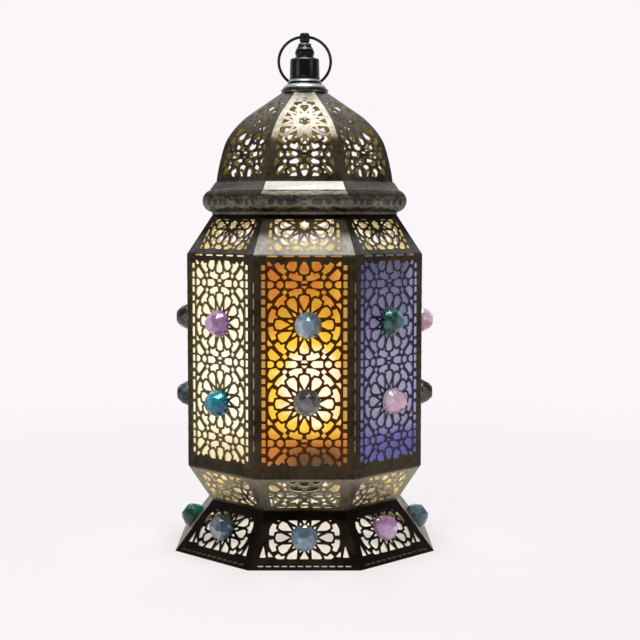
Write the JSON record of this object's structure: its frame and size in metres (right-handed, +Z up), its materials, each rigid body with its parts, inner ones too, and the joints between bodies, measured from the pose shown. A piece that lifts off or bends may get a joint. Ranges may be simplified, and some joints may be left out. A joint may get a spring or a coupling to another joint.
{
  "type": "lantern",
  "caption": "Eight-sided pierced metal lantern with coloured panes, glued stones, a ribbed dome, a finial with a hanging ring and a lamp inside.",
  "frame": {"origin": "centre of the base, on the floor", "axes": "+Z up along the lantern's axis, front face towards -Y, +X to the viewer's right"},
  "size_m": [0.2042, 0.2042, 0.4037],
  "materials": {
    "case_metal": "dark antique bronze lacquer, satin",
    "pane_amber": "translucent amber sheet",
    "pane_violet": "translucent violet sheet",
    "pane_red": "translucent red sheet",
    "pane_cream": "translucent cream sheet",
    "gem_pale": "faceted, clear with a pale blue sheen",
    "gem_emerald": "faceted, emerald",
    "gem_rose": "faceted, rose",
    "gem_lilac": "faceted, lilac",
    "gem_teal": "faceted, teal",
    "gem_smoke": "faceted, smoke grey",
    "gem_sapphire": "faceted, dark blue",
    "finial_metal": "gloss black nickel",
    "ring_wire": "drawn wire",
    "plated_steel": "zinc plated",
    "brass": "plain",
    "holder_plastic": "moulded black",
    "block_ceramic": "unglazed white",
    "cap_metal": "spun",
    "contact_metal": "tinned contact in a dark glass plug",
    "lamp_glass": "frosted, lit"
  },
  "bodies": {
    "lantern": {"base_skirt": "case_metal", "lower_flare": "case_metal", "shoulder": "case_metal", "cornice": "case_metal", "crown_plate": "case_metal", "panel_front": "case_metal", "panel_front_right": "case_metal", "panel_right": "case_metal", "panel_back_right": "case_metal", "panel_back": "case_metal", "panel_back_left": "case_metal", "panel_left": "case_metal", "panel_front_left": "case_metal", "gore_front": "case_metal", "gore_front_right": "case_metal", "gore_right": "case_metal", "gore_back_right": "case_metal", "gore_back": "case_metal", "gore_back_left": "case_metal", "gore_left": "case_metal", "gore_front_left": "case_metal", "pane_front": "pane_amber", "pane_front_right": "pane_violet", "pane_right": "pane_red", "pane_back_right": "pane_violet", "pane_back": "pane_amber", "pane_back_left": "pane_cream", "pane_left": "pane_red", "pane_front_left": "pane_cream", "gems_pale": "gem_pale", "gems_emerald": "gem_emerald", "gems_rose": "gem_rose", "gems_lilac": "gem_lilac", "gems_teal": "gem_teal", "gems_smoke": "gem_smoke", "gems_sapphire": "gem_sapphire", "finial_flange": "finial_metal", "finial_barrel": "finial_metal", "finial_knob": "finial_metal", "finial_stud": "plated_steel", "finial_washer": "plated_steel", "finial_nut": "plated_steel", "bridge_screws": "plated_steel", "bridge_nuts": "plated_steel", "waist_rivets": "plated_steel", "lamp_bridge": "plated_steel", "nipple_washer": "plated_steel", "nipple_nut": "plated_steel", "pane_clips": "plated_steel", "holder_nipple": "brass", "screw_shell": "brass", "centre_contact": "brass", "holder_shell": "holder_plastic", "terminal_block": "block_ceramic", "lamp_cap": "cap_metal", "lamp_contact": "contact_metal", "lamp_glass": "lamp_glass"},
    "ring": {"hanging_ring": "ring_wire"}
  },
  "joints": [
    {"name": "ring_swing", "type": "hinge", "parent": "lantern", "child": "ring", "pos_m": [0, 0, 0.4008], "axis": [1, 0, 0], "range_deg": [0, 308.5]}
  ]
}
